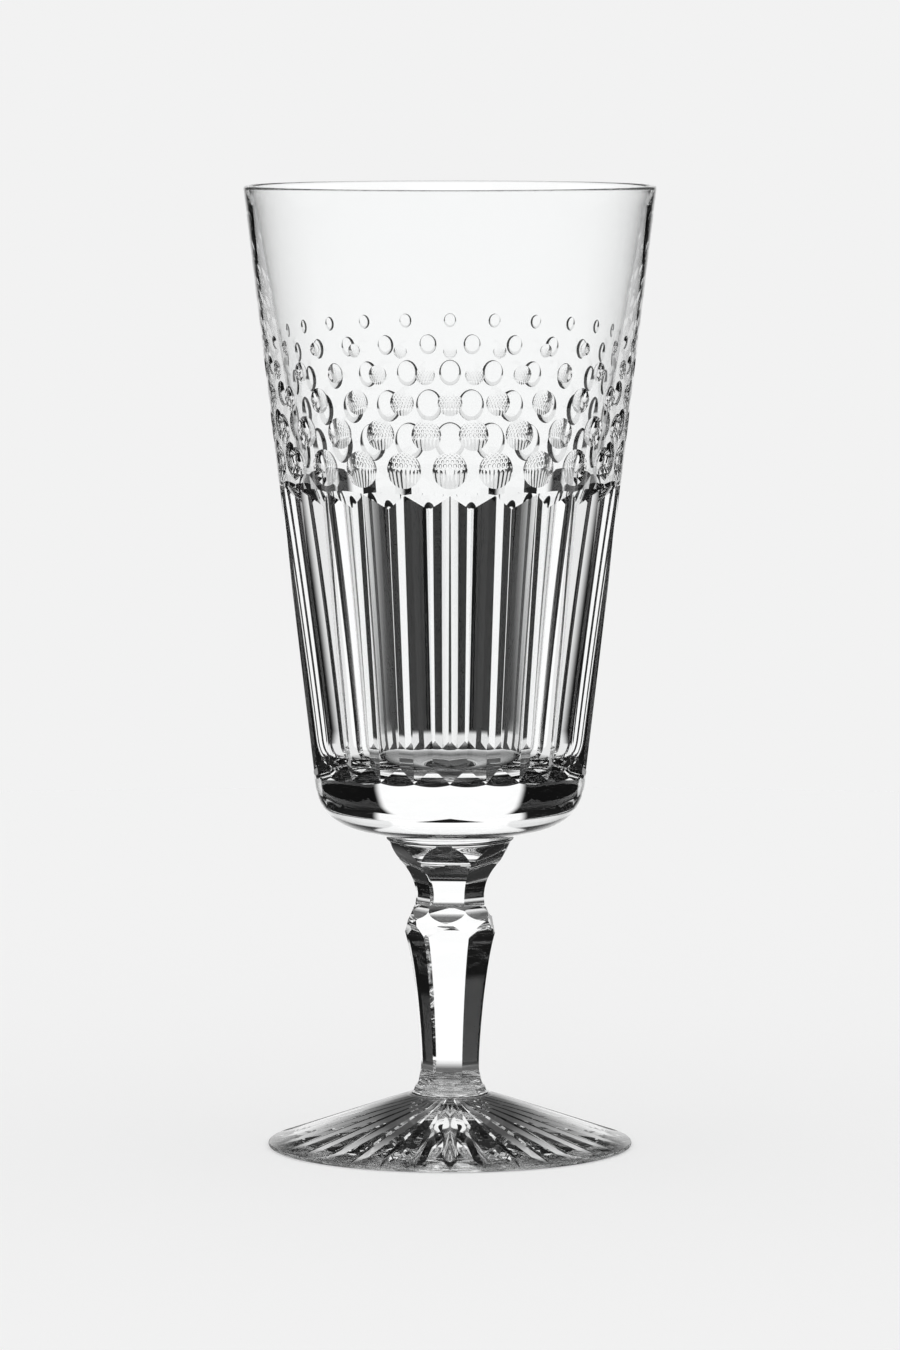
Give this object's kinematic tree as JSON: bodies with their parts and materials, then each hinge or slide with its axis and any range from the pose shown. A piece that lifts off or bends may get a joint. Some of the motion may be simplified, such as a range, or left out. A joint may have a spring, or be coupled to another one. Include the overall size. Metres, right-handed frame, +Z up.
{
  "type": "iced beverage glass",
  "caption": "Tall footed drinking glass in clear cut crystal: straight flared bowl with V-cut mitres and round thumbprint cuts, faceted knop stem and star-cut foot.",
  "frame": {"origin": "centre of the foot's rest ring, on the surface that the glass stands on", "axes": "+Z up along the stem's axis, -Y towards the viewer of the picture"},
  "size_m": [0.0854, 0.0854, 0.2],
  "materials": {
    "bowl_crystal": "polished clear crystal, hand cut and polished",
    "merese_crystal": "fire-polished clear crystal",
    "stem_crystal": "polished clear crystal, cut facets",
    "foot_crystal": "polished clear crystal, star cut underneath, lightly worn rest ring"
  },
  "bodies": {
    "root": {"bowl": "bowl_crystal", "merese": "merese_crystal", "stem": "stem_crystal", "foot": "foot_crystal"}
  },
  "joints": []
}
